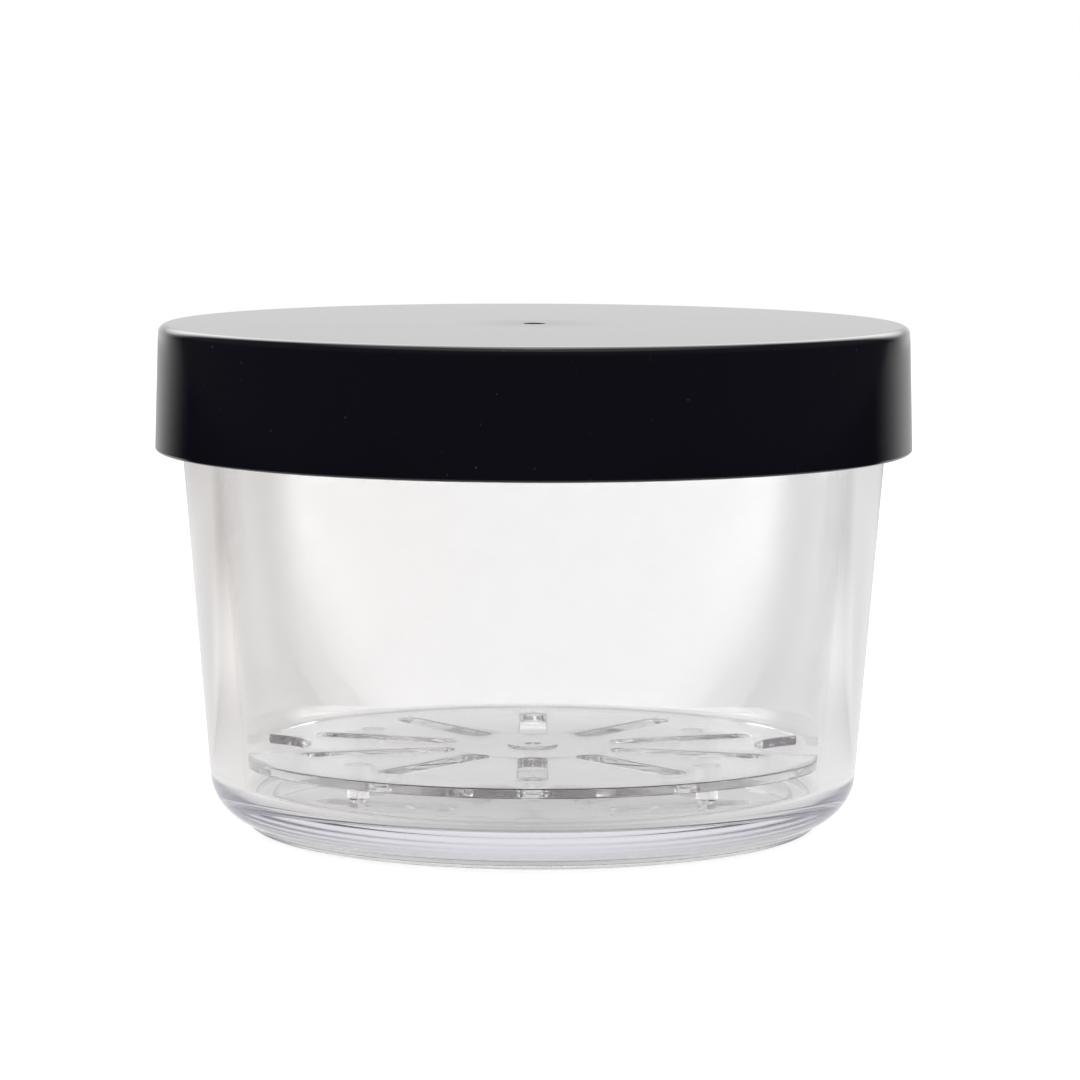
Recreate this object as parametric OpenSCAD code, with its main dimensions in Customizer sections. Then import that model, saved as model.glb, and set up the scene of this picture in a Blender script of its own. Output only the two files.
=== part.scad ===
// Round food keeper: a thick clear bowl, a dark push-on lid with a soft ring, and a drain plate.
// Millimetres, +Z up, the origin at the centre of the foot ring on the table.

/* [Bowl] */
// Height of the bowl from the table to the top of its rim
bowl_h = 70.9; // [50:0.1:110]
// Outer diameter at the rim
rim_d = 104.6; // [80:0.1:150]
// Lean of the outer wall, in degrees
outer_draft = 4.66; // [2:0.01:7]
// Wall at the rim
rim_wall = 5.2; // [3.5:0.1:6.5]
// Lean of the inner wall, in degrees
inner_draft = 4.35; // [3:0.01:6]
// Radius of the rounded edges of the rim
rim_round = 1.2; // [0.4:0.1:1.6]
// Radius of the bottom corner outside
corner_r = 7.3; // [5:0.1:9]
// Height of the bottom corner's lowest point above the table
corner_lift = 0.9; // [0.6:0.02:2]
// Radius of the bottom corner inside
inner_corner_r = 2.2; // [1:0.1:5]
// Thickness of the floor
floor_t = 2.55; // [2:0.05:5]

/* [Foot ring] */
// How far the foot ring stands in from the wall's line at the table
foot_ring_inset = 4.84; // [4:0.02:7]
// Width of the foot ring
foot_ring_w = 3.9; // [3:0.1:8]
// Radius of the foot ring's lower outer edge
foot_ring_round = 1; // [0.4:0.1:1.5]
// Depth of the hollow inside the foot ring
recess_depth = 3.5; // [1.5:0.1:4.5]
// Radius of the hollow's upper corner
recess_round = 0.5; // [0.3:0.1:1.5]

/* [Lid] */
// Thickness of the lid's top
lid_top_t = 2.2; // [1.5:0.1:4]
// How far the skirt reaches below the rim
skirt_drop = 16.04; // [10:0.02:30]
// Wall of the skirt
skirt_wall = 1.9; // [1.5:0.1:3]
// Lean of the skirt, in degrees
lid_draft = 1.6; // [0.5:0.1:3]
// Room between the rim and the skirt
lid_clearance = 0.3; // [0.2:0.05:0.8]
// Radius of the lid's upper edge
lid_round = 1.3; // [0.6:0.1:1.5]
// Radius of the skirt's lower edges
skirt_round = 0.5; // [0.2:0.1:0.7]
// Diameter of the gate mark in the middle of the top
gate_d = 3.4; // [2:0.1:6]
// Depth of the gate mark
gate_depth = 0.4; // [0.2:0.1:0.8]

/* [Lid plug and seal] */
// How far the plug reaches below the rim
plug_drop = 7.4; // [7:0.1:10]
// Room between the plug's lower edge and the bowl
plug_clearance = 1.1; // [0.8:0.1:1.8]
// Wall of the plug
plug_wall = 2.8; // [2.2:0.1:4]
// Chamfer of the plug's lower edge
plug_chamfer = 0.6; // [0.2:0.1:0.8]
// Depth of the groove that holds the seal
groove_depth = 1; // [0.6:0.1:1.2]
// Height of the groove
groove_h = 3.5; // [2.5:0.1:4]
// Distance of the groove below the rim
groove_drop = 2.4; // [1.5:0.1:2.8]
// Play between the seal and the bottom of its groove
seal_play = 0.05; // [0.02:0.01:0.1]
// Room between the seal's fins and the bowl
seal_clearance = 0.25; // [0.2:0.05:0.4]
// How far the seal's body stands out of its groove
seal_body_out = 0.3; // [0.1:0.1:0.5]
// Thickness of a fin at its root
fin_t = 0.9; // [0.6:0.1:1.2]
// Radius of a fin's rounded edge
fin_round = 0.25; // [0.15:0.05:0.3]

/* [Drain plate] */
// Thickness of the plate
plate_t = 1.4; // [1.2:0.05:3]
// Room between the plate's lower edge and the bowl
plate_clearance = 0.75; // [0.4:0.05:1.2]
// Number of slots
slot_count = 10; // [10, 14]
// Width of a slot
slot_w = 4; // [2:0.1:4.4]
// Distance of the slots' inner ends from the centre
slot_start = 12.1; // [10:0.1:16]
// Distance of the slots' outer ends from the plate's edge
slot_margin = 7.4; // [4:0.1:12]
// Diameter of the raised hub
hub_d = 7.3; // [5:0.1:12]
// Height of the hub above the plate
hub_h = 0.3; // [0.2:0.1:2]
// Diameter of the gate mark in the hub
hub_gate_d = 2.5; // [1.5:0.1:4]
// Depth of the gate mark in the hub
hub_gate_depth = 0.4; // [0.2:0.1:0.8]
// Radius of a finger notch, a round bite out of the plate's edge
notch_r = 9; // [5:0.1:11]
// Height of the feet under the plate
foot_h = 4.3; // [2:0.1:6]
// Diameter of a foot at the plate
foot_d = 3.4; // [2:0.1:5]
// Lean of a foot's side, in degrees
foot_draft = 3; // [1:0.5:5]
// Chamfer of a foot's lower edge
foot_chamfer = 0.5; // [0.2:0.1:0.6]
// Distance of the feet from the plate's edge
foot_inset = 11.6; // [8:0.1:16]

/* [Hidden] */
$fn = 128;

// Overlap of cutting shapes past the faces that they cut
cut = 1;

// Bowl
rim_r = rim_d / 2;
rim_inner_r = rim_r - rim_wall;
floor_z = recess_depth + floor_t;
function outer_r(z) = rim_r - (bowl_h - z) * tan(outer_draft);
function inner_r(z) = rim_inner_r - (bowl_h - z) * tan(inner_draft);
corner_z = corner_lift + corner_r;
corner_x = outer_r(corner_z) - corner_r / cos(outer_draft);
inner_corner_z = floor_z + inner_corner_r;
inner_corner_x = inner_r(inner_corner_z) - inner_corner_r / cos(inner_draft);
rim_round_z = bowl_h - rim_round;
rim_round_x = outer_r(rim_round_z) - rim_round / cos(outer_draft);
rim_inner_round_x = inner_r(rim_round_z) + rim_round / cos(inner_draft);
foot_ring_r = outer_r(0) - foot_ring_inset;
recess_r = foot_ring_r - foot_ring_w;

// Radius of the bowl's inside at a height, its rounded corner included
function cavity_r(z) =
    z < inner_corner_z - inner_corner_r * sin(inner_draft)
        ? inner_corner_x + sqrt(pow(inner_corner_r, 2) - pow(inner_corner_z - z, 2))
        : inner_r(z);

// Lid
lid_top = bowl_h + lid_top_t;
skirt_bottom = bowl_h - skirt_drop;
function skirt_inner_r(z) = rim_r + lid_clearance + (bowl_h - z) * tan(lid_draft);
function skirt_outer_r(z) = skirt_inner_r(z) + skirt_wall;
lid_round_z = lid_top - lid_round;
lid_round_x = skirt_outer_r(lid_round_z) - lid_round / cos(lid_draft);
skirt_round_z = skirt_bottom + skirt_round;
skirt_round_out_x = skirt_outer_r(skirt_round_z) - skirt_round / cos(lid_draft);
skirt_round_in_x = skirt_inner_r(skirt_round_z) + skirt_round / cos(lid_draft);
plug_bottom = bowl_h - plug_drop;
plug_r = inner_r(plug_bottom) - plug_clearance;
groove_top = bowl_h - groove_drop;
groove_bottom = groove_top - groove_h;
groove_r = plug_r - groove_depth;
seal_r = plug_r + seal_body_out;

// Drain plate
plate_z = floor_z + foot_h;
plate_top = plate_z + plate_t;
plate_r = cavity_r(plate_z) - plate_clearance;
slot_pitch = 360 / slot_count;
slot_end = plate_r - slot_margin;
foot_at_r = plate_r - foot_inset;
foot_tip_r = foot_d / 2 - foot_h * tan(foot_draft);
// Feet stand midway between slots, two in front of the notches and two behind them
foot_angles = [1.5, slot_count / 2 - 1.5, slot_count / 2 + 1.5, slot_count - 1.5] * slot_pitch;

// A point at an angle on a circle around a centre
function on_circle(x, z, r, angle) = [x + r * cos(angle), z + r * sin(angle)];

// Outer half section of the bowl, solid to the axis, with its bottom corner and outer rim edge rounded
module bowl_outside() {
    polygon([
        [0, corner_lift],
        [corner_x, corner_lift],
        [corner_x, corner_z],
        on_circle(corner_x, corner_z, corner_r, -outer_draft),
        on_circle(rim_round_x, rim_round_z, rim_round, -outer_draft),
        [rim_round_x, rim_round_z],
        [rim_round_x, bowl_h],
        [0, bowl_h],
    ]);
    translate([corner_x, corner_z]) circle(corner_r);
    translate([rim_round_x, rim_round_z]) circle(rim_round);
}

// Half section of the bowl's inside, open at the top, cut back where the rim's inner edge is rounded
module bowl_inside() {
    polygon([
        [0, floor_z],
        [inner_corner_x, floor_z],
        [inner_corner_x, inner_corner_z],
        on_circle(inner_corner_x, inner_corner_z, inner_corner_r, -inner_draft),
        on_circle(rim_inner_round_x, rim_round_z, rim_round, 180 - inner_draft),
        [rim_inner_round_x, rim_round_z],
        [rim_inner_round_x, bowl_h + cut],
        [0, bowl_h + cut],
    ]);
    translate([inner_corner_x, inner_corner_z]) circle(inner_corner_r);
}

// Half section of the foot ring, run up into the bowl's bottom
module foot_ring() {
    translate([recess_r, foot_ring_round]) square([foot_ring_w, corner_z - foot_ring_round]);
    translate([recess_r, 0]) square([foot_ring_w - foot_ring_round, corner_z]);
    translate([foot_ring_r - foot_ring_round, foot_ring_round]) circle(foot_ring_round);
}

// Half section of the hollow inside the foot ring
module recess() {
    translate([0, -cut]) square([recess_r - recess_round, recess_depth + cut]);
    translate([0, -cut]) square([recess_r, recess_depth - recess_round + cut]);
    translate([recess_r - recess_round, recess_depth - recess_round]) circle(recess_round);
}

module bowl() {
    color([0.93, 0.94, 0.95, 0.45])
    rotate_extrude() {
        difference() {
            union() {
                bowl_outside();
                foot_ring();
            }
            bowl_inside();
            recess();
        }
        translate([rim_inner_round_x, rim_round_z]) circle(rim_round);
    }
}

// Half section of the lid's top and skirt
module lid_shell() {
    difference() {
        union() {
            polygon([
                [0, bowl_h],
                [skirt_inner_r(bowl_h), bowl_h],
                on_circle(skirt_round_in_x, skirt_round_z, skirt_round, 180 + lid_draft),
                [skirt_round_in_x, skirt_round_z],
                [skirt_round_in_x, skirt_bottom],
                [skirt_round_out_x, skirt_bottom],
                [skirt_round_out_x, skirt_round_z],
                on_circle(skirt_round_out_x, skirt_round_z, skirt_round, lid_draft),
                on_circle(lid_round_x, lid_round_z, lid_round, lid_draft),
                [lid_round_x, lid_round_z],
                [lid_round_x, lid_top],
                [0, lid_top],
            ]);
            translate([lid_round_x, lid_round_z]) circle(lid_round);
            translate([skirt_round_out_x, skirt_round_z]) circle(skirt_round);
            translate([skirt_round_in_x, skirt_round_z]) circle(skirt_round);
        }
        translate([0, lid_top - gate_depth]) square([gate_d / 2, gate_depth + cut]);
    }
}

// Half section of the plug under the lid's top, with the seal's groove around it
module lid_plug() {
    polygon([
        [plug_r - plug_wall, bowl_h],
        [plug_r - plug_wall, plug_bottom],
        [plug_r - plug_chamfer, plug_bottom],
        [plug_r, plug_bottom + plug_chamfer],
        [plug_r, groove_bottom],
        [groove_r, groove_bottom],
        [groove_r, groove_top],
        [plug_r, groove_top],
        [plug_r, bowl_h],
    ]);
}

module lid() {
    color([0.07, 0.07, 0.11])
    rotate_extrude() {
        lid_shell();
        lid_plug();
    }
}

// Half section of one fin of the seal at a height, tapered to a round edge just short of the bowl
module seal_fin(z) {
    tip_x = inner_r(z) - seal_clearance - fin_round;
    polygon([
        [seal_r - seal_body_out, z - fin_t / 2],
        [tip_x, z - fin_round],
        [tip_x, z + fin_round],
        [seal_r - seal_body_out, z + fin_t / 2],
    ]);
    translate([tip_x, z]) circle(fin_round);
}

module lid_seal() {
    color([0.9, 0.9, 0.88])
    rotate_extrude() {
        translate([groove_r + seal_play, groove_bottom])
            square([seal_r - groove_r - seal_play, groove_h]);
        seal_fin(groove_bottom + groove_h / 4);
        seal_fin(groove_top - groove_h / 4);
    }
}

// One slot, from the centre outwards along +X
module slot() {
    translate([slot_start + slot_w / 2, 0]) circle(d = slot_w);
    translate([slot_end - slot_w / 2, 0]) circle(d = slot_w);
    translate([slot_start + slot_w / 2, -slot_w / 2]) square([slot_end - slot_start - slot_w, slot_w]);
}

// One foot under the plate, from the bowl's floor up into the plate
module plate_foot() {
    rotate_extrude()
    polygon([
        [0, floor_z],
        [foot_tip_r - foot_chamfer, floor_z],
        [foot_tip_r, floor_z + foot_chamfer],
        [foot_d / 2, plate_z],
        [foot_d / 2, plate_z + plate_t / 2],
        [0, plate_z + plate_t / 2],
    ]);
}

module drain_plate() {
    color([0.86, 0.87, 0.89, 0.55])
    difference() {
        union() {
            translate([0, 0, plate_z])
            linear_extrude(plate_t)
            difference() {
                circle(plate_r);
                for (i = [0 : slot_count - 1]) rotate(-90 + i * slot_pitch) slot();
                for (side = [-1, 1]) translate([side * plate_r, 0]) circle(notch_r);
            }
            translate([0, 0, plate_top - plate_t / 2]) cylinder(d = hub_d, h = hub_h + plate_t / 2);
            for (a = foot_angles) rotate(-90 + a) translate([foot_at_r, 0, 0]) plate_foot();
        }
        translate([0, 0, plate_top + hub_h - hub_gate_depth])
            cylinder(d = hub_gate_d, h = hub_gate_depth + cut);
    }
}

bowl();
lid();
lid_seal();
drain_plate();
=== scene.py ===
import math

import bmesh
import bpy
from mathutils import Matrix, Vector


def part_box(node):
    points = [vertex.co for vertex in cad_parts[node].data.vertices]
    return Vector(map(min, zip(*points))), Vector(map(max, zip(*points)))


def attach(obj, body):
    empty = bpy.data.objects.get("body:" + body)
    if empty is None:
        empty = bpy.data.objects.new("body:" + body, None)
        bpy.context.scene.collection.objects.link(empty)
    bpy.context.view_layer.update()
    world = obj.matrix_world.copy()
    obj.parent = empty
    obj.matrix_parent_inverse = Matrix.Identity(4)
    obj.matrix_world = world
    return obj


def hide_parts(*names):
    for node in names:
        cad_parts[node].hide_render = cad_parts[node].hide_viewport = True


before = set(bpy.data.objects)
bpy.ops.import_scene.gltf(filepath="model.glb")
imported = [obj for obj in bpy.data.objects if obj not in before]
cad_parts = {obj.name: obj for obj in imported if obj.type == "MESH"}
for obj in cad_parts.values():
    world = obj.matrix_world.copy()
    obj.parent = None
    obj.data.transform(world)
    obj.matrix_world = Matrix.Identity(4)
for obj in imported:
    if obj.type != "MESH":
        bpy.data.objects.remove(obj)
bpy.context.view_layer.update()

MM = 0.001
SEGMENTS = 256          # steps around a turned piece
ARC_STEP = 6.0          # degrees between the points of a rounded edge
FINE_STEP = 2.0         # the same in the clear corners, where light bends through them
CONTACT_GAP = 0.02 * MM  # air left between faces that touch
WELD = 1e-7             # points closer than this become one
SHARP_EDGE = 35         # degrees from which an edge stays sharp in the shading

# Sizes taken from the CAD nodes
bowl_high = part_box("bowl")[1]
lid_low, lid_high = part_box("lid")
seal_low, seal_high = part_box("lid_seal")
plate_low, plate_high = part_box("drain_plate")

# Bowl
RIM_Z = bowl_high.z
RIM_ROUND = 1.2 * MM
RIM_WALL = 5.2 * MM
OUTER_DRAFT = 4.66
INNER_DRAFT = 4.35
CORNER_R = 7.3 * MM
CORNER_LIFT = 0.9 * MM
INNER_CORNER_R = 2.2 * MM
FLOOR_Z = plate_low.z
RECESS_DEPTH = 3.5 * MM
RECESS_ROUND = 0.5 * MM
FOOT_RING_INSET = 4.84 * MM
FOOT_RING_W = 3.9 * MM
FOOT_RING_ROUND = 1.0 * MM
FOOT_RING_EDGE = 0.4 * MM

# Lid
LID_TOP = lid_high.z
SKIRT_BOTTOM = lid_low.z
SKIRT_WALL = 1.9 * MM
LID_DRAFT = 1.6
LID_ROUND = 1.3 * MM
SKIRT_ROUND = 0.5 * MM
GATE_R = 1.7 * MM
GATE_DEPTH = 0.4 * MM
GATE_EDGE = 0.15 * MM

# Plug under the lid and its soft ring
PLUG_DROP = 7.4 * MM
PLUG_CLEARANCE = 1.1 * MM
PLUG_WALL = 2.8 * MM
PLUG_CHAMFER = 0.6 * MM
GROOVE_DEPTH = 1.0 * MM
SEAL_PLAY = 0.05 * MM
SEAL_BODY_OUT = 0.3 * MM
SEAL_CLEARANCE = 0.25 * MM
FIN_T = 0.9 * MM
FIN_ROUND = 0.25 * MM

# Drain plate
PLATE_R = plate_high.y
PLATE_T = 1.4 * MM
PLATE_EDGE = 0.22 * MM
SLOT_COUNT = 10
SLOT_W = 4.0 * MM
SLOT_START = 12.1 * MM
SLOT_MARGIN = 7.4 * MM
HUB_R = 3.65 * MM
HUB_H = 0.3 * MM
HUB_EDGE = 0.1 * MM
HUB_GATE_R = 1.25 * MM
HUB_GATE_DEPTH = 0.4 * MM
NOTCH_R = 9.0 * MM
NOTCH_CORNER = 0.9 * MM
FOOT_R = 1.7 * MM
FOOT_DRAFT = 3.0
FOOT_CHAMFER = 0.5 * MM
FOOT_FILLET = 0.25 * MM
FOOT_INSET = 11.6 * MM
FOOT_PITCH = 1.5        # slot pitches from the front or back slot to a foot

# Materials
CLEAR_COLOUR = (0.992, 0.991, 0.99, 1)
CLEAR_IOR = 1.51
BASE_SCUFF = 0.08       # roughness that use leaves on the base, under the bowl's floor
BOWL_TINT = (0.85, 0.85, 1, 1)
PLATE_TINT = (0.82, 0.81, 0.818, 1)
LID_NAVY = (0.0085, 0.0078, 0.0135, 1)
LID_SPECK = (0.05, 0.05, 0.058, 1)
LID_BLUSH = 0.1         # roughness that the gate mark adds around it
BLUSH_FADE = (2 * MM, 12 * MM)  # from the middle, where that fades
SILICONE_DARK = (0.72, 0.72, 0.69, 1)
SILICONE_PALE = (0.84, 0.84, 0.81, 1)

# Light, fitted to the photograph: a level of 1 is white, a height is the sine of an elevation,
# sides are degrees to the left or right of straight behind the object
ROOM = 0.45                      # what lights the matt surfaces
BACKDROP_LOW = 0.88              # the backdrop in reflections, near the horizon
BACKDROP_HIGH = 3.0              # and higher up
BACKDROP_HEIGHTS = (0.15, 0.35)  # where it turns from one to the other
BACKDROP_SIDES = (22, 46)        # where it fades
BACKDROP_REST = 0.03             # the share of it that is left beyond
OVERHEAD = 0.8                   # a soft light overhead in reflections
OVERHEAD_HEIGHTS = (0.75, 0.9)   # where it comes up
BACKDROP_THROUGH = 0.82          # the backdrop as seen through the plastic
FRONT_ROOM = 0.75                # the room in front, through the plastic
FRONT_LIGHT = 4.7                # the light just above the horizon there
FRONT_RISE = (-0.025, 0.008)     # the heights of its lower edge
FRONT_FALL = (0.08, 0.15)        # and of its upper edge
FRONT_REACH = (0.25, 0.55)       # how far it reaches round to the back, in a direction's Y
WARM_LIGHT = (1, 0.96, 0.925, 1)
LAMPS = (
    # name, place, size and power
    ("lamp_top", (0.0, 0.15, 0.95), 0.6, 2.0),
    ("lamp_left", (-0.9, 0.1, 0.5), 0.5, 1.0),
    ("lamp_right", (0.9, 0.1, 0.5), 0.5, 1.0),
)
BOUNCES = 96

# Floor, with the painted light and shade that the pieces see on it
FLOOR_HALF = 1.2
FLOOR_DROP = -0.1 * MM
FLOOR_WHITE = 0.8                # its colour, and as much glow again for the camera
SHEET_NEAR = 0.9                 # painted light on the table in reflections, close to the object
SHEET_FAR = 0.6                  # and further off
SHEET_CHANGE = (0.35, 0.55)      # distances where it turns from one to the other
NEAR_SIDES = (54, 62)            # where the near one fades
FAR_SIDES = (26, 58)             # where the far one fades
FAR_SHIFT = 60 * MM              # how far right the middle of the far one lies
RING_FADE = (0.07, 0.14)         # where the light all round the base fades in reflections
TABLE_SHADE_LEFT = 0.64                # painted shade on the table through the plastic, on the left
TABLE_SHADE_RIGHT = 0.73               # and on the right
TABLE_CHANGE = (-0.25, 0.25)     # where it turns from one to the other
BESIDE_NEAR_SHADE = 0.35               # the painted light beside the object keeps only this share close to it, a painted shade
BESIDE_RISE = (0.11, 0.18)       # distances where it comes up
BESIDE_FALL = (0.18, 0.34)       # and where it fades
BESIDE_SIDES = ((35, 50), (100, 140))
CLOSE_FALL = (0.1, 0.14)         # where the painted light close round the front of the base fades
CLOSE_SIDES = ((80, 110), (125, 220))
UNDER_BASE_SHADE = 0.62                # share of the painted light left right under the base, a painted shade
UNDER_EDGE = (0.04, 0.06)        # distances where that ends
WARM_FADE = (-0.2, 0.08)         # from left to right, where the warm light fades

# Camera, fitted to the outlines of the lid and the bowl in a square frame
CAMERA_DISTANCE = 681.8 * MM
CAMERA_ELEVATION = 5.98
CAMERA_LENS = 155.82
CAMERA_ROLL = 0.195
CAMERA_SENSOR = 36
CLIP_START = 10 * MM
AIM = Vector((0.95 * MM, 0.0, 41.48 * MM))


def sin(degrees):
    return math.sin(math.radians(degrees))


def cos(degrees):
    return math.cos(math.radians(degrees))


def tan(degrees):
    return math.tan(math.radians(degrees))


# Shape helpers

def arc(x, y, radius, start, end, step=ARC_STEP):
    """Points along a circle around (x, y), from one angle to another."""
    steps = max(2, math.ceil(abs(end - start) / step))
    angles = [start + (end - start) * i / steps for i in range(steps + 1)]
    return [(x + radius * cos(a), y + radius * sin(a)) for a in angles]


def add_object(name, bm, material):
    """Turns a bmesh into a shaded object whose flat faces stay flat beside rounded edges."""
    bmesh.ops.remove_doubles(bm, verts=bm.verts, dist=WELD)
    bmesh.ops.recalc_face_normals(bm, faces=bm.faces)
    mesh = bpy.data.meshes.new(name)
    bm.to_mesh(mesh)
    bm.free()
    mesh.materials.append(material)
    mesh.shade_smooth()
    mesh.set_sharp_from_angle(angle=math.radians(SHARP_EDGE))
    piece = bpy.data.objects.new(name, mesh)
    bpy.context.scene.collection.objects.link(piece)
    normals = piece.modifiers.new("flat_faces", "WEIGHTED_NORMAL")
    normals.weight = 100
    normals.keep_sharp = True
    return piece


def add_rings(bm, rings, closed=False):
    """Joins rings of points with faces; a ring of one point is a pole."""
    loops = [[bm.verts.new(point) for point in ring] for ring in rings]
    pairs = list(zip(loops, loops[1:]))
    if closed:
        pairs.append((loops[-1], loops[0]))
    for low, high in pairs:
        count = max(len(low), len(high))
        for i in range(count):
            j = (i + 1) % count
            corners = [low[i % len(low)], low[j % len(low)], high[j % len(high)], high[i % len(high)]]
            bm.faces.new(list(dict.fromkeys(corners)))
    return loops


def turn(radius, z):
    """One ring of a turned piece, or its pole on the axis."""
    if radius == 0:
        return [(0, 0, z)]
    step = 360 / SEGMENTS
    return [(radius * cos(i * step), radius * sin(i * step), z) for i in range(SEGMENTS)]


def lathe(name, profile, material, closed=False):
    """A piece turned around the Z axis from (radius, height) points."""
    bm = bmesh.new()
    add_rings(bm, [turn(radius, z) for radius, z in profile], closed)
    return add_object(name, bm, material)


# Walls that several pieces share

RIM_ROUND_Z = RIM_Z - RIM_ROUND
RIM_X = bowl_high.x - RIM_ROUND


def outer_r(z):
    """Radius of the bowl's outer wall at a height."""
    return RIM_X + RIM_ROUND / cos(OUTER_DRAFT) + (z - RIM_ROUND_Z) * tan(OUTER_DRAFT)


def inner_r(z):
    """Radius of the bowl's inner wall at a height."""
    return outer_r(RIM_Z) - RIM_WALL - (RIM_Z - z) * tan(INNER_DRAFT)


def bowl_profile():
    """Section of the bowl from under its floor, round the wall and back to the axis."""
    ring_r = outer_r(0) - FOOT_RING_INSET
    recess_r = ring_r - FOOT_RING_W
    corner_z = CORNER_LIFT + CORNER_R
    corner_x = outer_r(corner_z) - CORNER_R / cos(OUTER_DRAFT)
    ring_angle = -math.degrees(math.acos((ring_r - corner_x) / CORNER_R))
    inner_z = FLOOR_Z + INNER_CORNER_R
    inner_x = inner_r(inner_z) - INNER_CORNER_R / cos(INNER_DRAFT)
    rim_inner_x = inner_r(RIM_ROUND_Z) + RIM_ROUND / cos(INNER_DRAFT)
    return [
        (0, RECESS_DEPTH),
        *arc(recess_r - RECESS_ROUND, RECESS_DEPTH - RECESS_ROUND, RECESS_ROUND, 90, 0),
        *arc(recess_r + FOOT_RING_EDGE, FOOT_RING_EDGE, FOOT_RING_EDGE, 180, 270),
        *arc(ring_r - FOOT_RING_ROUND, FOOT_RING_ROUND, FOOT_RING_ROUND, -90, 0),
        *arc(corner_x, corner_z, CORNER_R, ring_angle, -OUTER_DRAFT, FINE_STEP),
        *arc(RIM_X, RIM_ROUND_Z, RIM_ROUND, -OUTER_DRAFT, 90),
        *arc(rim_inner_x, RIM_ROUND_Z, RIM_ROUND, 90, 180 - INNER_DRAFT),
        *arc(inner_x, inner_z, INNER_CORNER_R, -INNER_DRAFT, -90, FINE_STEP),
        (0, FLOOR_Z),
    ]


PLUG_BOTTOM = RIM_Z - PLUG_DROP
PLUG_R = inner_r(PLUG_BOTTOM) - PLUG_CLEARANCE
GROOVE_R = PLUG_R - GROOVE_DEPTH
GROOVE_BOTTOM, GROOVE_TOP = seal_low.z, seal_high.z


def lid_profile():
    """Section of the lid from its gate mark, round the skirt, the plug and its groove, to the axis."""
    underside = RIM_Z + CONTACT_GAP
    foot_z = SKIRT_BOTTOM + SKIRT_ROUND
    foot_out = lid_high.x - SKIRT_ROUND
    foot_in = foot_out - SKIRT_WALL + 2 * SKIRT_ROUND
    top_z = LID_TOP - LID_ROUND
    top_x = foot_out + (SKIRT_ROUND - LID_ROUND) / cos(LID_DRAFT) - (top_z - foot_z) * tan(LID_DRAFT)
    skirt_in = foot_in - SKIRT_ROUND / cos(LID_DRAFT) - (underside - foot_z) * tan(LID_DRAFT)
    return [
        (0, LID_TOP - GATE_DEPTH),
        *arc(GATE_R - GATE_EDGE, LID_TOP - GATE_DEPTH + GATE_EDGE, GATE_EDGE, -90, 0),
        *arc(GATE_R + GATE_EDGE, LID_TOP - GATE_EDGE, GATE_EDGE, 180, 90),
        *arc(top_x, top_z, LID_ROUND, 90, LID_DRAFT),
        *arc(foot_out, foot_z, SKIRT_ROUND, LID_DRAFT, -90),
        *arc(foot_in, foot_z, SKIRT_ROUND, 270, 180 + LID_DRAFT),
        (skirt_in, underside),
        (PLUG_R, underside),
        (PLUG_R, GROOVE_TOP),
        (GROOVE_R, GROOVE_TOP),
        (GROOVE_R, GROOVE_BOTTOM),
        (PLUG_R, GROOVE_BOTTOM),
        (PLUG_R, PLUG_BOTTOM + PLUG_CHAMFER),
        (PLUG_R - PLUG_CHAMFER, PLUG_BOTTOM),
        (PLUG_R - PLUG_WALL, PLUG_BOTTOM),
        (PLUG_R - PLUG_WALL, underside),
        (0, underside),
    ]


def fin(z):
    """Outline of one fin of the soft ring, from its lower root round its edge to its upper root."""
    root = PLUG_R + SEAL_BODY_OUT
    tip = inner_r(z) - SEAL_CLEARANCE - FIN_ROUND
    return [(root, z - FIN_T / 2), *arc(tip, z, FIN_ROUND, -90, 90), (root, z + FIN_T / 2)]


def seal_profile():
    """Closed section of the soft ring in its groove, with two fins towards the bowl."""
    inside = GROOVE_R + SEAL_PLAY
    outside = PLUG_R + SEAL_BODY_OUT
    bottom = GROOVE_BOTTOM + CONTACT_GAP
    top = GROOVE_TOP - CONTACT_GAP
    quarter = (GROOVE_TOP - GROOVE_BOTTOM) / 4
    return [
        (inside, bottom),
        (outside, bottom),
        *fin(GROOVE_BOTTOM + quarter),
        *fin(GROOVE_TOP - quarter),
        (outside, top),
        (inside, top),
    ]


# Drain plate

PLATE_TOP = plate_high.z - HUB_H
PLATE_Z = PLATE_TOP - PLATE_T


def turned(points, angle):
    """Points of a plan turned around the centre."""
    return [(x * cos(angle) - y * sin(angle), x * sin(angle) + y * cos(angle)) for x, y in points]


def bend(start, corner, end):
    """A small curve that rounds a corner of the outline."""
    steps = 6
    weights = [i / steps for i in range(steps + 1)]
    return [
        tuple((1 - t) ** 2 * a + 2 * t * (1 - t) * b + t * t * c for a, b, c in zip(start, corner, end))
        for t in weights
    ]


def notch_half(inset):
    """Upper half of the finger notch on +X, from its inner end out to the plate's edge."""
    edge_r = PLATE_R - inset
    round_r = NOTCH_R + inset
    corner_x = (edge_r ** 2 - round_r ** 2 + PLATE_R ** 2) / (2 * PLATE_R)
    corner = (corner_x, math.sqrt(edge_r ** 2 - corner_x ** 2))
    end_angle = math.degrees(math.atan2(corner[1], corner_x - PLATE_R) + NOTCH_CORNER / round_r)
    edge_angle = math.degrees(math.atan2(corner[1], corner_x) + NOTCH_CORNER / edge_r)
    edge = (edge_r * cos(edge_angle), edge_r * sin(edge_angle))
    points = arc(PLATE_R, 0, round_r, 180, end_angle)
    return points + bend(points[-1], corner, edge)[1:], edge_angle


def rim_loop(inset):
    """The plate's outline with its two finger notches, taken in by an inset."""
    upper, edge_angle = notch_half(inset)
    lower = [(x, -y) for x, y in reversed(upper)]
    edge = arc(0, 0, PLATE_R - inset, edge_angle, 180 - edge_angle)[1:-1]
    half = lower[:-1] + upper + edge
    return half + turned(half, 180)


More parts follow.
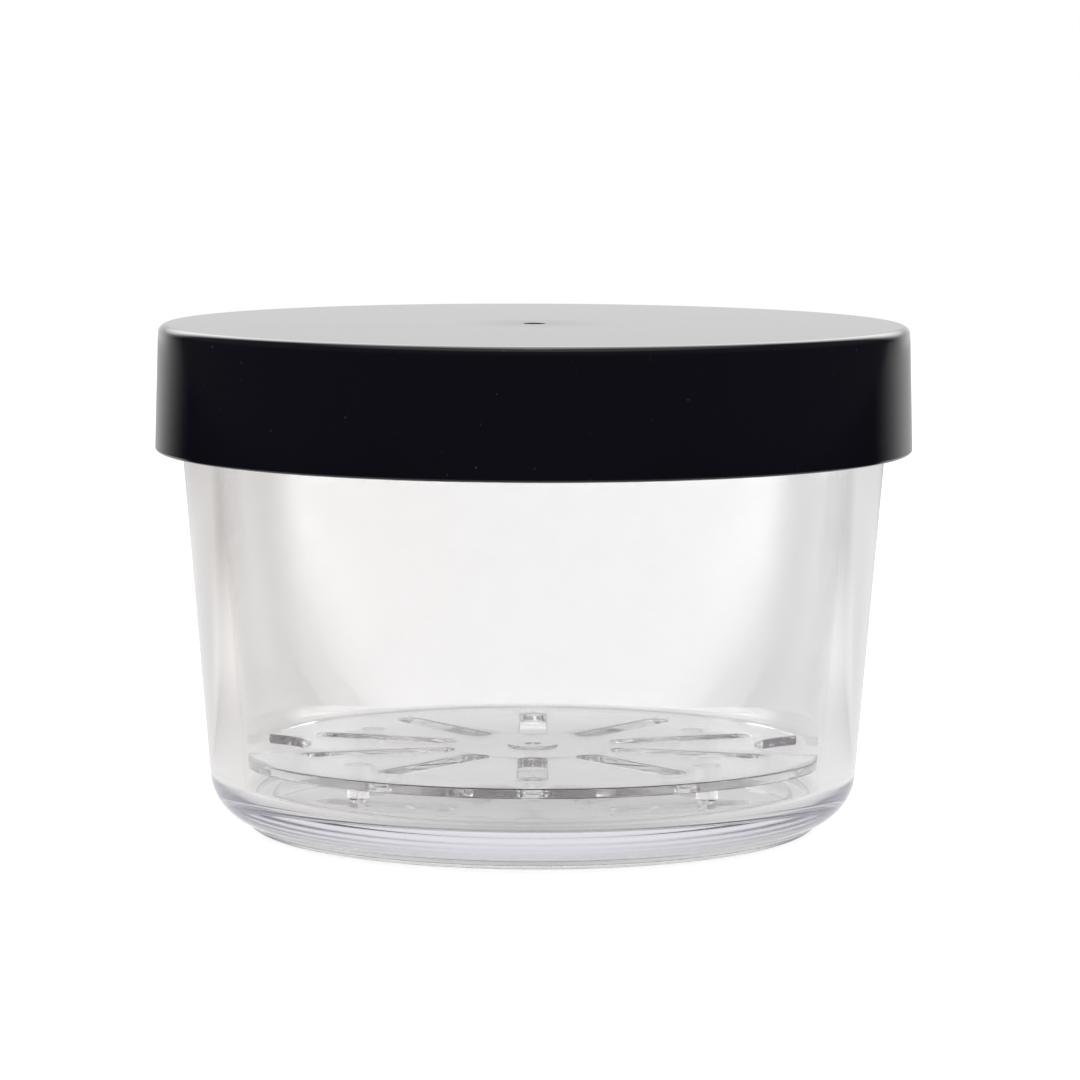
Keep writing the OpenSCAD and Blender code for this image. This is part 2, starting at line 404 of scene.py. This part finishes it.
def slot_loop(inset, angle):
    """The outline of one slot, let out by an inset."""
    radius = SLOT_W / 2 + inset
    near = SLOT_START + SLOT_W / 2
    far = PLATE_R - SLOT_MARGIN - SLOT_W / 2
    return turned(arc(near, 0, radius, 270, 90) + arc(far, 0, radius, 90, -90), angle)


def edge_steps():
    """Inset and height of the rings that round the plate's lower and upper edges."""
    low = [(PLATE_EDGE * (1 - cos(a)), PLATE_EDGE * (1 - sin(a))) for a in (90, 60, 30, 0)]
    lower = [(inset, PLATE_Z + lift) for inset, lift in low]
    upper = [(inset, PLATE_TOP - lift) for inset, lift in reversed(low)]
    return lower + upper


def circle_rings(x, y, profile):
    """Rings of a small turned feature that stands on the plate at (x, y)."""
    rings = []
    for radius, z in profile:
        points = arc(x, y, radius, 0, 360)[:-1] if radius else [(x, y)]
        rings.append([(px, py, z) for px, py in points])
    return rings


def hub_rings():
    """The raised hub with its gate mark, from the plate's top to the axis."""
    top = plate_high.z
    return circle_rings(0, 0, [
        *arc(HUB_R + HUB_EDGE, PLATE_TOP + HUB_EDGE, HUB_EDGE, 270, 180),
        *arc(HUB_R - HUB_EDGE, top - HUB_EDGE, HUB_EDGE, 0, 90),
        (HUB_GATE_R, top),
        (HUB_GATE_R - HUB_EDGE, top - HUB_GATE_DEPTH),
        (0, top - HUB_GATE_DEPTH),
    ])


def foot_rings(angle):
    """One tapered foot, from the plate's underside to its tip on the bowl's floor."""
    at = PLATE_R - FOOT_INSET
    tip_z = plate_low.z + CONTACT_GAP
    tip_r = FOOT_R - (PLATE_Z - tip_z) * tan(FOOT_DRAFT)
    return circle_rings(at * cos(angle), at * sin(angle), [
        *arc(FOOT_R + FOOT_FILLET, PLATE_Z - FOOT_FILLET, FOOT_FILLET, 90, 180),
        (tip_r, tip_z + FOOT_CHAMFER),
        (tip_r - FOOT_CHAMFER, tip_z),
        (0, tip_z),
    ])


def fill_face(bm, loops):
    """Closes one flat side of the plate between its outline and the holes in it."""
    edges = []
    for loop in loops:
        for a, b in zip(loop, loop[1:] + loop[:1]):
            edges.append(bm.edges.get((a, b)))
    bmesh.ops.triangle_fill(bm, edges=edges, use_beauty=True)


def drain_plate(material):
    """The plate as one closed skin: rounded outline, slots, hub and feet."""
    bm = bmesh.new()
    pitch = 360 / SLOT_COUNT
    front = -90
    outlines = [rim_loop] + [
        lambda inset, angle=front + i * pitch: slot_loop(inset, angle) for i in range(SLOT_COUNT)
    ]
    lower, upper = [], []
    for outline in outlines:
        rings = [[(x, y, z) for x, y in outline(inset)] for inset, z in edge_steps()]
        loops = add_rings(bm, rings)
        lower.append(loops[0])
        upper.append(loops[-1])
    upper.append(add_rings(bm, hub_rings())[0])
    # Feet stand midway between slots, two in front of the notches and two behind them
    back = SLOT_COUNT / 2
    for place in (FOOT_PITCH, back - FOOT_PITCH, back + FOOT_PITCH, SLOT_COUNT - FOOT_PITCH):
        lower.append(add_rings(bm, foot_rings(front + place * pitch))[0])
    fill_face(bm, lower)
    fill_face(bm, upper)
    return add_object("drain_plate_clear", bm, material)


# Materials

def new_material(name):
    """A material with its node tree, its main shader and the place of each point on the object."""
    material = bpy.data.materials.new(name)
    material.use_nodes = True
    tree = material.node_tree
    place = tree.nodes.new("ShaderNodeTexCoord").outputs["Object"]
    return material, tree, tree.nodes["Principled BSDF"], place


def noise(tree, place, scale, detail=2.0, stretch=(1, 1, 1)):
    """A noise value over the surface; scale is in features per metre, stretch per axis."""
    mapping = tree.nodes.new("ShaderNodeMapping")
    mapping.inputs["Scale"].default_value = stretch
    tree.links.new(place, mapping.inputs["Vector"])
    texture = tree.nodes.new("ShaderNodeTexNoise")
    texture.inputs["Scale"].default_value = scale
    texture.inputs["Detail"].default_value = detail
    tree.links.new(mapping.outputs["Vector"], texture.inputs["Vector"])
    return texture.outputs["Fac"]


def remap(tree, value, low, high, to_low, to_high, smooth=False):
    """A value carried from one range to another, held within it."""
    node = tree.nodes.new("ShaderNodeMapRange")
    node.interpolation_type = "SMOOTHSTEP" if smooth else "LINEAR"
    for name, number in zip(("From Min", "From Max", "To Min", "To Max"), (low, high, to_low, to_high)):
        node.inputs[name].default_value = number
    tree.links.new(value, node.inputs["Value"])
    return node.outputs["Result"]


def math_node(tree, operation, a, b):
    """One arithmetic step on two values."""
    node = tree.nodes.new("ShaderNodeMath")
    node.operation = operation
    for socket, value in zip(node.inputs, (a, b)):
        if isinstance(value, (int, float)):
            socket.default_value = value
        else:
            tree.links.new(value, socket)
    return node.outputs["Value"]


def mix_node(tree, share, a, b):
    """A value between two others, by a share."""
    node = tree.nodes.new("ShaderNodeMix")
    tree.links.new(share, node.inputs["Factor"])
    for name, value in (("A", a), ("B", b)):
        if isinstance(value, (int, float)):
            node.inputs[name].default_value = value
        else:
            tree.links.new(value, node.inputs[name])
    return node.outputs["Result"]


def split_xyz(tree, vector):
    """The three parts of a vector."""
    node = tree.nodes.new("ShaderNodeSeparateXYZ")
    tree.links.new(vector, node.inputs["Vector"])
    return node.outputs["X"], node.outputs["Y"], node.outputs["Z"]


def length_of(tree, vector):
    """How long a vector is."""
    node = tree.nodes.new("ShaderNodeVectorMath")
    node.operation = "LENGTH"
    tree.links.new(vector, node.inputs[0])
    return node.outputs["Value"]


def bump(tree, height, strength, depth, under=None):
    """A bump of a real depth, laid over another one if given."""
    node = tree.nodes.new("ShaderNodeBump")
    node.inputs["Strength"].default_value = strength
    node.inputs["Distance"].default_value = depth
    tree.links.new(height, node.inputs["Height"])
    if under is not None:
        tree.links.new(under, node.inputs["Normal"])
    return node.outputs["Normal"]


def clear_plastic(name, tint, density, haze, scratch_depth):
    """Clear moulded plastic, tinted along a long way inside, with smudges, a scuffed base and hairlines."""
    material, tree, shader, place = new_material(name)
    shader.inputs["Base Color"].default_value = CLEAR_COLOUR
    shader.inputs["IOR"].default_value = CLEAR_IOR
    shader.inputs["Transmission Weight"].default_value = 1
    smudges = remap(tree, noise(tree, place, 55, 4), 0.42, 0.7, *haze)
    height = split_xyz(tree, place)[2]
    scuffs = remap(tree, height, RECESS_DEPTH, FLOOR_Z, BASE_SCUFF, 0, smooth=True)
    tree.links.new(math_node(tree, "ADD", smudges, scuffs), shader.inputs["Roughness"])
    flow = bump(tree, noise(tree, place, 90, 2), 0.1, 0.02 * MM)
    hairlines = noise(tree, place, 300, 3, (0.12, 6, 6))
    lines = remap(tree, hairlines, 0.62, 0.66, 0, 1)
    tree.links.new(bump(tree, lines, 0.2, scratch_depth, flow), shader.inputs["Normal"])
    absorption = tree.nodes.new("ShaderNodeVolumeAbsorption")
    absorption.inputs["Color"].default_value = tint
    absorption.inputs["Density"].default_value = density
    tree.links.new(absorption.outputs["Volume"], tree.nodes["Material Output"].inputs["Volume"])
    return material


def lid_plastic():
    """Near-black navy plastic with a satin gloss, dull around the gate mark, with a few pale specks."""
    material, tree, shader, place = new_material("lid_plastic")
    mix = tree.nodes.new("ShaderNodeMix")
    mix.data_type = "RGBA"
    mix.inputs["A"].default_value = LID_NAVY
    mix.inputs["B"].default_value = LID_SPECK
    specks = remap(tree, noise(tree, place, 1100, 1), 0.77, 0.8, 0, 1)
    tree.links.new(specks, mix.inputs["Factor"])
    tree.links.new(mix.outputs["Result"], shader.inputs["Base Color"])
    flat = tree.nodes.new("ShaderNodeVectorMath")
    flat.operation = "MULTIPLY"
    flat.inputs[1].default_value = (1, 1, 0)
    tree.links.new(place, flat.inputs[0])
    blush = remap(tree, length_of(tree, flat.outputs["Vector"]), *BLUSH_FADE, LID_BLUSH, 0)
    satin = remap(tree, noise(tree, place, 40, 3), 0.35, 0.65, 0.07, 0.085)
    tree.links.new(math_node(tree, "ADD", satin, blush), shader.inputs["Roughness"])
    grain = noise(tree, place, 2600, 2)
    tree.links.new(bump(tree, grain, 0.03, 0.005 * MM), shader.inputs["Normal"])
    return material


def seal_silicone():
    """Soft milky silicone with a dull skin."""
    material, tree, shader, place = new_material("seal_silicone")
    shader.inputs["Subsurface Weight"].default_value = 0.3
    shader.inputs["Subsurface Radius"].default_value = (0.8 * MM, 0.75 * MM, 0.7 * MM)
    shader.inputs["Subsurface Scale"].default_value = 1
    ramp = tree.nodes.new("ShaderNodeValToRGB")
    ramp.color_ramp.elements[0].color = SILICONE_DARK
    ramp.color_ramp.elements[1].color = SILICONE_PALE
    cloud = noise(tree, place, 160, 3)
    tree.links.new(cloud, ramp.inputs["Fac"])
    tree.links.new(ramp.outputs["Color"], shader.inputs["Base Color"])
    tree.links.new(remap(tree, cloud, 0.3, 0.7, 0.42, 0.55), shader.inputs["Roughness"])
    skin = noise(tree, place, 1800, 2)
    tree.links.new(bump(tree, skin, 0.15, 0.02 * MM), shader.inputs["Normal"])
    return material


# Pieces

def add_pieces():
    """Makes each piece, lets it stand for its CAD node and move with its body."""
    bowl_clear = clear_plastic(
        "bowl_plastic", BOWL_TINT, density=5, haze=(0.0, 0.02), scratch_depth=0.0005 * MM)
    plate_clear = clear_plastic(
        "plate_plastic", PLATE_TINT, density=90, haze=(0.02, 0.05), scratch_depth=0.002 * MM)
    made = [
        (lathe("bowl_clear", bowl_profile(), bowl_clear), "bowl", "bowl", "bowl"),
        (lathe("lid_dark", lid_profile(), lid_plastic()), "lid", "lid", "lid"),
        (lathe("lid_seal_soft", seal_profile(), seal_silicone(), closed=True), "lid_seal", "lid", "seal"),
        (drain_plate(plate_clear), "drain_plate", "drain_plate", "plate"),
    ]
    for piece, node, body, slot in made:
        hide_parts(node)
        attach(piece, body)


# Stage

def add_camera():
    """The camera at the photograph's angle."""
    back = Vector((0, -cos(CAMERA_ELEVATION), sin(CAMERA_ELEVATION)))
    place = AIM + back * CAMERA_DISTANCE
    right = Vector((1, 0, 0))
    turn_matrix = Matrix((right, back.cross(right), back)).transposed().to_4x4()
    camera = bpy.data.objects.new("camera", bpy.data.cameras.new("camera"))
    camera.data.sensor_width = CAMERA_SENSOR
    camera.data.lens = CAMERA_LENS
    camera.data.clip_start = CLIP_START
    roll = Matrix.Rotation(math.radians(CAMERA_ROLL), 4, "Z")
    camera.matrix_world = Matrix.Translation(place) @ turn_matrix @ roll
    bpy.context.scene.collection.objects.link(camera)
    bpy.context.scene.camera = camera


def add_lamp(name, place, size, power):
    """A soft square lamp that points at the object."""
    lamp = bpy.data.objects.new(name, bpy.data.lights.new(name, "AREA"))
    lamp.data.size = size
    lamp.data.energy = power
    lamp.location = place
    lamp.visible_camera = False
    lamp.visible_glossy = False
    lamp.rotation_euler = (AIM - Vector(place)).to_track_quat("-Z", "Y").to_euler()
    bpy.context.scene.collection.objects.link(lamp)


def ray_level(tree, camera, glossy, transmission, other):
    """A brightness for each kind of ray."""
    path = tree.nodes.new("ShaderNodeLightPath")
    level = other
    for ray, value in (
        ("Is Glossy Ray", glossy), ("Is Transmission Ray", transmission), ("Is Camera Ray", camera)
    ):
        level = mix_node(tree, path.outputs[ray], level, value)
    return level


def warm_light(tree, share):
    """White light that is warmer, by a share, where it is seen through the plastic."""
    mix = tree.nodes.new("ShaderNodeMix")
    mix.data_type = "RGBA"
    mix.inputs["A"].default_value = (1, 1, 1, 1)
    mix.inputs["B"].default_value = WARM_LIGHT
    tree.links.new(ray_level(tree, 0.0, 0.0, share, 0.0), mix.inputs["Factor"])
    return mix.outputs["Result"]


def angle_from_behind(tree, across, behind):
    """Degrees to either side of straight behind the object."""
    angle = math_node(tree, "ARCTAN2", math_node(tree, "ABSOLUTE", across, 0), behind)
    return math_node(tree, "DEGREES", angle, 0)


def band(tree, value, rise, fall):
    """One between two soft edges, nothing outside them."""
    return math_node(tree, "MULTIPLY", remap(tree, value, *rise, 0, 1, smooth=True),
                     remap(tree, value, *fall, 1, 0, smooth=True))


def add_world():
    """A white room; the pieces also show a backdrop that is brighter high up, and a light low in front."""
    world = bpy.data.worlds.new("studio")
    world.use_nodes = True
    tree = world.node_tree
    across, behind, height = split_xyz(tree, tree.nodes.new("ShaderNodeTexCoord").outputs["Generated"])
    aside = angle_from_behind(tree, across, behind)
    # In reflections
    backdrop = math_node(tree, "MULTIPLY",
                         remap(tree, height, *BACKDROP_HEIGHTS, BACKDROP_LOW, BACKDROP_HIGH),
                         remap(tree, aside, *BACKDROP_SIDES, 1, BACKDROP_REST, smooth=True))
    overhead = remap(tree, height, *OVERHEAD_HEIGHTS, 0, OVERHEAD)
    glossy = math_node(tree, "MAXIMUM", backdrop, overhead)
    # Through the plastic
    strip = band(tree, height, FRONT_RISE, FRONT_FALL)
    front = remap(tree, strip, 0, 1, FRONT_ROOM, FRONT_LIGHT)
    through = mix_node(tree, remap(tree, behind, *FRONT_REACH, 1, 0), BACKDROP_THROUGH, front)
    background = tree.nodes["Background"]
    tree.links.new(ray_level(tree, 1.0, glossy, through, ROOM), background.inputs["Strength"])
    background.inputs["Color"].default_value = (1, 1, 1, 1)
    bpy.context.scene.world = world


def floor_material():
    """White that keeps a soft shadow; the pieces see painted light on the table beside them and painted shade
    elsewhere.
    """
    material, tree, shader, place = new_material("floor")
    shader.inputs["Roughness"].default_value = 1
    shader.inputs["Specular IOR Level"].default_value = 0
    across, behind, _ = split_xyz(tree, place)
    away = length_of(tree, place)
    aside = angle_from_behind(tree, across, behind)
    far_aside = angle_from_behind(tree, math_node(tree, "SUBTRACT", across, FAR_SHIFT), behind)
    # In reflections: painted light behind the object, further round the sides close to it, and all round its
    # base
    sheet = mix_node(tree, remap(tree, away, *SHEET_CHANGE, 0, 1),
                     remap(tree, aside, *NEAR_SIDES, SHEET_NEAR, 0, smooth=True),
                     remap(tree, far_aside, *FAR_SIDES, SHEET_FAR, 0, smooth=True))
    glossy = math_node(tree, "MAXIMUM", sheet, remap(tree, away, *RING_FADE, 1, 0))
    # Through the plastic: painted light beside the object and, close to its base, further round to the front
    # painted light beside the object, with painted shade close to it
    near = math_node(tree, "MULTIPLY", remap(tree, away, *BESIDE_RISE, BESIDE_NEAR_SHADE, 1, smooth=True),
                     remap(tree, away, *BESIDE_FALL, 1, 0, smooth=True))
    beside = math_node(tree, "MULTIPLY", near, band(tree, aside, *BESIDE_SIDES))
    close = math_node(tree, "MULTIPLY", remap(tree, away, *CLOSE_FALL, 1, 0),
                      band(tree, aside, *CLOSE_SIDES))
    bright = math_node(tree, "MAXIMUM", beside, close)
    # painted shade on the table, dimmer on the left, turning to painted light where it is bright
    table_light_and_shade = mix_node(tree, bright, remap(tree, across, *TABLE_CHANGE, TABLE_SHADE_LEFT, TABLE_SHADE_RIGHT), 1.0)
    # painted shade right under the base
    through = math_node(tree, "MULTIPLY", table_light_and_shade, remap(tree, away, *UNDER_EDGE, UNDER_BASE_SHADE, 1))
    left = remap(tree, across, *WARM_FADE, 1, 0)
    tree.links.new(warm_light(tree, left), shader.inputs["Emission Color"])
    tree.links.new(ray_level(tree, FLOOR_WHITE, 0.0, 0.0, FLOOR_WHITE), shader.inputs["Base Color"])
    tree.links.new(ray_level(tree, FLOOR_WHITE, glossy, through, 0.0), shader.inputs["Emission Strength"])
    return material


def add_floor():
    """The floor just under the object."""
    mesh = bpy.data.meshes.new("floor")
    corners = ((-1, -1), (1, -1), (1, 1), (-1, 1))
    mesh.from_pydata([(x * FLOOR_HALF, y * FLOOR_HALF, FLOOR_DROP) for x, y in corners], [], [(0, 1, 2, 3)])
    mesh.materials.append(floor_material())
    floor = bpy.data.objects.new("floor", mesh)
    bpy.context.scene.collection.objects.link(floor)


def set_view():
    """Plain colours, and enough bounces for light to leave the thick clear walls."""
    scene = bpy.context.scene
    scene.view_settings.view_transform = "Standard"
    scene.cycles.max_bounces = BOUNCES
    scene.cycles.glossy_bounces = BOUNCES
    scene.cycles.transmission_bounces = BOUNCES


add_camera()
add_pieces()
add_world()
add_floor()
for lamp in LAMPS:
    add_lamp(*lamp)
set_view()
